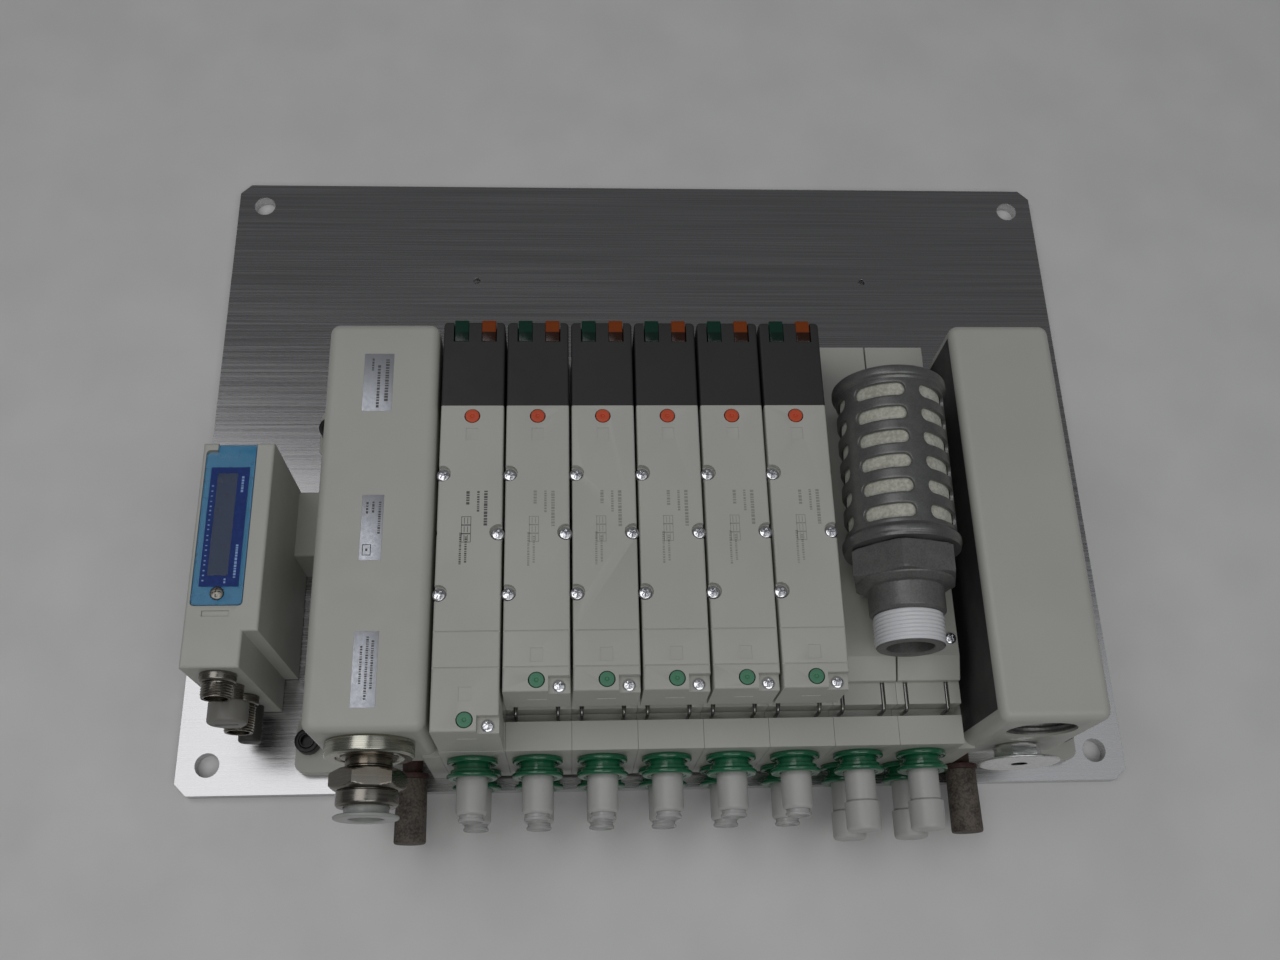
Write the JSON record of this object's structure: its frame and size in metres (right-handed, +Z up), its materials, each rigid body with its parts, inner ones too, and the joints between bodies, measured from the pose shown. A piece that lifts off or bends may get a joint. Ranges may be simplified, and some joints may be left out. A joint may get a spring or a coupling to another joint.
{
  "type": "pneumatic valve island",
  "caption": "Row of air valves on bolted base blocks between two end blocks, with push-in fittings, a serial unit and a loose exhaust silencer, on a flat plate.",
  "frame": {"origin": "centre of the four mounting holes on the underside of the plate", "axes": "+X along the row of valves towards the right end block, +Y towards the rear, +Z up, out of the plate"},
  "size_m": [0.4, 0.3244, 0.1172],
  "materials": {
    "brushed_aluminium": "brushed along the row, dull mirror",
    "ivory_paint": "smooth satin paint",
    "ivory_plastic": "smooth satin plastic",
    "charcoal_plastic": "fine matt",
    "green_lens": "clear coloured lens",
    "amber_lens": "clear coloured lens",
    "orange_button": "satin",
    "green_button": "satin",
    "zinc_screw": "bright zinc plate",
    "spring_wire": "drawn wire",
    "green_plastic": "glossy",
    "white_plastic": "milky satin",
    "clear_plastic": "milky, slightly clear",
    "black_screw": "black oxide",
    "nickel": "nickel plate on brass",
    "bright_steel": "bright zinc plate",
    "sintered_bronze": "grainy sintered bronze",
    "cast_grey": "fine cast, painted grey",
    "cream_felt": "felt",
    "dark_board": "satin",
    "blue_window": "clear blue",
    "grey_plastic": "satin"
  },
  "bodies": {
    "island": {"mounting_plate": "brushed_aluminium", "manifold_blocks": "ivory_paint", "fitting_clips": "spring_wire", "valve_bodies": "ivory_plastic", "pilot_covers": "charcoal_plastic", "lamp_windows_green": "green_lens", "lamp_windows_amber": "amber_lens", "blanking_plates": "ivory_plastic", "valve_screws": "zinc_screw", "fitting_bodies": "green_plastic", "tube_reducers": "white_plastic", "reducer_rings": "clear_plastic", "port_plugs": "white_plastic", "left_end_block": "ivory_paint", "right_end_block": "ivory_paint", "foot_screws": "black_screw", "supply_port_ring": "nickel", "supply_fitting": "nickel", "small_port_plug": "bright_steel", "pilot_silencers": "sintered_bronze", "silencer_cage": "cast_grey", "silencer_element": "cream_felt", "silencer_body": "cast_grey", "serial_housing": "ivory_plastic", "switch_board": "dark_board", "serial_connectors": "nickel", "connector_caps": "charcoal_plastic", "link_block": "ivory_paint"},
    "window": {"window_cover": "blue_window", "window_screw": "nickel"},
    "rear_button_1": {"rear_button_1": "orange_button"},
    "rear_button_2": {"rear_button_2": "orange_button"},
    "rear_button_3": {"rear_button_3": "orange_button"},
    "rear_button_4": {"rear_button_4": "orange_button"},
    "rear_button_5": {"rear_button_5": "orange_button"},
    "rear_button_6": {"rear_button_6": "orange_button"},
    "front_button_1": {"front_button_1": "green_button"},
    "front_button_2": {"front_button_2": "green_button"},
    "front_button_3": {"front_button_3": "green_button"},
    "front_button_4": {"front_button_4": "green_button"},
    "front_button_5": {"front_button_5": "green_button"},
    "front_button_6": {"front_button_6": "green_button"},
    "upper_bush_1": {"upper_bush_1": "green_plastic"},
    "upper_bush_2": {"upper_bush_2": "green_plastic"},
    "upper_bush_3": {"upper_bush_3": "green_plastic"},
    "upper_bush_4": {"upper_bush_4": "green_plastic"},
    "upper_bush_5": {"upper_bush_5": "green_plastic"},
    "upper_bush_6": {"upper_bush_6": "green_plastic"},
    "upper_bush_7": {"upper_bush_7": "green_plastic"},
    "upper_bush_8": {"upper_bush_8": "green_plastic"},
    "lower_bush_1": {"lower_bush_1": "green_plastic"},
    "lower_bush_2": {"lower_bush_2": "green_plastic"},
    "lower_bush_3": {"lower_bush_3": "green_plastic"},
    "lower_bush_4": {"lower_bush_4": "green_plastic"},
    "lower_bush_5": {"lower_bush_5": "green_plastic"},
    "lower_bush_6": {"lower_bush_6": "green_plastic"},
    "lower_bush_7": {"lower_bush_7": "green_plastic"},
    "lower_bush_8": {"lower_bush_8": "green_plastic"},
    "supply_bush": {"supply_release_bush": "grey_plastic"}
  },
  "joints": [
    {"name": "window_hinge", "type": "hinge", "parent": "island", "child": "window", "pos_m": [-0.16685, -0.0277, 0.0813], "axis": [-1, 0, 0], "range_deg": [0, 100]},
    {"name": "rear_button_1_press", "type": "slide", "parent": "island", "child": "rear_button_1", "axis": [0, 0, -1], "range_m": [0, 0.0015], "stiffness_N_per_m": 300, "springref_m": -0.0005},
    {"name": "rear_button_2_press", "type": "slide", "parent": "island", "child": "rear_button_2", "axis": [0, 0, -1], "range_m": [0, 0.0015], "stiffness_N_per_m": 300, "springref_m": -0.0005},
    {"name": "rear_button_3_press", "type": "slide", "parent": "island", "child": "rear_button_3", "axis": [0, 0, -1], "range_m": [0, 0.0015], "stiffness_N_per_m": 300, "springref_m": -0.0005},
    {"name": "rear_button_4_press", "type": "slide", "parent": "island", "child": "rear_button_4", "axis": [0, 0, -1], "range_m": [0, 0.0015], "stiffness_N_per_m": 300, "springref_m": -0.0005},
    {"name": "rear_button_5_press", "type": "slide", "parent": "island", "child": "rear_button_5", "axis": [0, 0, -1], "range_m": [0, 0.0015], "stiffness_N_per_m": 300, "springref_m": -0.0005},
    {"name": "rear_button_6_press", "type": "slide", "parent": "island", "child": "rear_button_6", "axis": [0, 0, -1], "range_m": [0, 0.0015], "stiffness_N_per_m": 300, "springref_m": -0.0005},
    {"name": "front_button_1_press", "type": "slide", "parent": "island", "child": "front_button_1", "axis": [0, 0, -1], "range_m": [0, 0.0015], "stiffness_N_per_m": 300, "springref_m": -0.0005},
    {"name": "front_button_2_press", "type": "slide", "parent": "island", "child": "front_button_2", "axis": [0, 0, -1], "range_m": [0, 0.0015], "stiffness_N_per_m": 300, "springref_m": -0.0005},
    {"name": "front_button_3_press", "type": "slide", "parent": "island", "child": "front_button_3", "axis": [0, 0, -1], "range_m": [0, 0.0015], "stiffness_N_per_m": 300, "springref_m": -0.0005},
    {"name": "front_button_4_press", "type": "slide", "parent": "island", "child": "front_button_4", "axis": [0, 0, -1], "range_m": [0, 0.0015], "stiffness_N_per_m": 300, "springref_m": -0.0005},
    {"name": "front_button_5_press", "type": "slide", "parent": "island", "child": "front_button_5", "axis": [0, 0, -1], "range_m": [0, 0.0015], "stiffness_N_per_m": 300, "springref_m": -0.0005},
    {"name": "front_button_6_press", "type": "slide", "parent": "island", "child": "front_button_6", "axis": [0, 0, -1], "range_m": [0, 0.0015], "stiffness_N_per_m": 300, "springref_m": -0.0005},
    {"name": "upper_bush_1_slide", "type": "slide", "parent": "island", "child": "upper_bush_1", "axis": [0, 1, 0], "range_m": [0, 0.002], "stiffness_N_per_m": 400, "springref_m": -0.0005},
    {"name": "upper_bush_2_slide", "type": "slide", "parent": "island", "child": "upper_bush_2", "axis": [0, 1, 0], "range_m": [0, 0.002], "stiffness_N_per_m": 400, "springref_m": -0.0005},
    {"name": "upper_bush_3_slide", "type": "slide", "parent": "island", "child": "upper_bush_3", "axis": [0, 1, 0], "range_m": [0, 0.002], "stiffness_N_per_m": 400, "springref_m": -0.0005},
    {"name": "upper_bush_4_slide", "type": "slide", "parent": "island", "child": "upper_bush_4", "axis": [0, 1, 0], "range_m": [0, 0.002], "stiffness_N_per_m": 400, "springref_m": -0.0005},
    {"name": "upper_bush_5_slide", "type": "slide", "parent": "island", "child": "upper_bush_5", "axis": [0, 1, 0], "range_m": [0, 0.002], "stiffness_N_per_m": 400, "springref_m": -0.0005},
    {"name": "upper_bush_6_slide", "type": "slide", "parent": "island", "child": "upper_bush_6", "axis": [0, 1, 0], "range_m": [0, 0.002], "stiffness_N_per_m": 400, "springref_m": -0.0005},
    {"name": "upper_bush_7_slide", "type": "slide", "parent": "island", "child": "upper_bush_7", "axis": [0, 1, 0], "range_m": [0, 0.002], "stiffness_N_per_m": 400, "springref_m": -0.0005},
    {"name": "upper_bush_8_slide", "type": "slide", "parent": "island", "child": "upper_bush_8", "axis": [0, 1, 0], "range_m": [0, 0.002], "stiffness_N_per_m": 400, "springref_m": -0.0005},
    {"name": "lower_bush_1_slide", "type": "slide", "parent": "island", "child": "lower_bush_1", "axis": [0, 1, 0], "range_m": [0, 0.002], "stiffness_N_per_m": 400, "springref_m": -0.0005},
    {"name": "lower_bush_2_slide", "type": "slide", "parent": "island", "child": "lower_bush_2", "axis": [0, 1, 0], "range_m": [0, 0.002], "stiffness_N_per_m": 400, "springref_m": -0.0005},
    {"name": "lower_bush_3_slide", "type": "slide", "parent": "island", "child": "lower_bush_3", "axis": [0, 1, 0], "range_m": [0, 0.002], "stiffness_N_per_m": 400, "springref_m": -0.0005},
    {"name": "lower_bush_4_slide", "type": "slide", "parent": "island", "child": "lower_bush_4", "axis": [0, 1, 0], "range_m": [0, 0.002], "stiffness_N_per_m": 400, "springref_m": -0.0005},
    {"name": "lower_bush_5_slide", "type": "slide", "parent": "island", "child": "lower_bush_5", "axis": [0, 1, 0], "range_m": [0, 0.002], "stiffness_N_per_m": 400, "springref_m": -0.0005},
    {"name": "lower_bush_6_slide", "type": "slide", "parent": "island", "child": "lower_bush_6", "axis": [0, 1, 0], "range_m": [0, 0.002], "stiffness_N_per_m": 400, "springref_m": -0.0005},
    {"name": "lower_bush_7_slide", "type": "slide", "parent": "island", "child": "lower_bush_7", "axis": [0, 1, 0], "range_m": [0, 0.002], "stiffness_N_per_m": 400, "springref_m": -0.0005},
    {"name": "lower_bush_8_slide", "type": "slide", "parent": "island", "child": "lower_bush_8", "axis": [0, 1, 0], "range_m": [0, 0.002], "stiffness_N_per_m": 400, "springref_m": -0.0005},
    {"name": "supply_bush_slide", "type": "slide", "parent": "island", "child": "supply_bush", "axis": [0, 1, 0], "range_m": [0, 0.002], "stiffness_N_per_m": 500, "springref_m": -0.0005}
  ]
}
